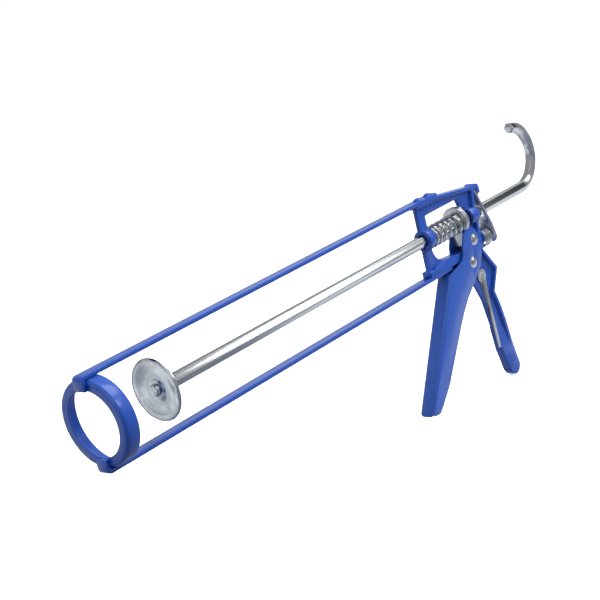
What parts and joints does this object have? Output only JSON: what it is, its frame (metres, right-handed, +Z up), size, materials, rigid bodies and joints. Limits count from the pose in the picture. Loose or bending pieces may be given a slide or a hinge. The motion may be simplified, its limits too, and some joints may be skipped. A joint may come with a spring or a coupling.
{
  "type": "caulking gun",
  "caption": "Open-frame caulking gun: front ring on two rails, hexagonal push rod with a hook end, squeeze trigger and a fixed rear handle.",
  "frame": {"origin": "on the push rod's axis, at the seat inside the front ring that the cartridge bears on", "axes": "+X along the push rod from the front ring towards the hook, +Z up, away from the handles, +Y to the left of someone holding the gun"},
  "size_m": [0.492, 0.054, 0.1862],
  "materials": {
    "blue_paint": "semi-gloss paint",
    "blue_trigger_paint": "semi-gloss paint",
    "zinc_rod": "bright zinc plate with draw marks",
    "zinc_plate": "bright zinc plate",
    "zinc_rivet": "bright zinc plate",
    "spring_wire": "zinc plated wire"
  },
  "bodies": {
    "frame": {"handle_casting": "blue_paint", "front_ring": "blue_paint", "top_rail": "blue_paint", "bottom_rail": "blue_paint", "top_rail_rivets": "blue_paint", "bottom_rail_rivets": "blue_paint", "piercer_rivet": "zinc_rivet", "feed_spring": "spring_wire", "release_spring": "spring_wire"},
    "rod": {"push_rod": "zinc_rod", "piston_plate": "zinc_plate", "piston_back_washer": "zinc_plate"},
    "trigger_body": {"trigger": "blue_trigger_paint", "trigger_pivot_rivet": "zinc_rivet", "thrust_rivet": "zinc_rivet", "thrust_sleeve": "zinc_rivet"},
    "drive": {"drive_plate_front": "zinc_plate", "drive_plate_rear": "zinc_plate"},
    "release": {"release_plate": "zinc_plate"},
    "piercer": {"seal_piercer": "zinc_rivet"}
  },
  "joints": [
    {"name": "rod_slide", "type": "slide", "parent": "frame", "child": "rod", "axis": [1, 0, 0], "range_m": [-0.044, 0.262]},
    {"name": "trigger_pull", "type": "hinge", "parent": "frame", "child": "trigger_body", "pos_m": [0.3699, 0, -0.0319], "axis": [0, -1, 0], "range_deg": [0, 26], "stiffness_Nm_per_rad": 0.6, "springref_deg": -8.59},
    {"name": "drive_slide", "type": "slide", "parent": "frame", "child": "drive", "axis": [-1, 0, 0], "range_m": [0, 0.0078], "deforming": ["feed_spring"]},
    {"name": "release_press", "type": "hinge", "parent": "frame", "child": "release", "pos_m": [0.3932, 0, 0.017], "axis": [0, 1, 0], "range_deg": [0, 8], "stiffness_Nm_per_rad": 0.12, "springref_deg": -14.32, "deforming": ["release_spring"]},
    {"name": "piercer_swing", "type": "hinge", "parent": "frame", "child": "piercer", "pos_m": [0.382, 0, -0.0466], "axis": [0, 1, 0], "range_deg": [0, 40]}
  ],
  "couplings": [
    {"joint": "drive_slide", "follows": "trigger_pull", "m_per_rad": 0.017}
  ]
}
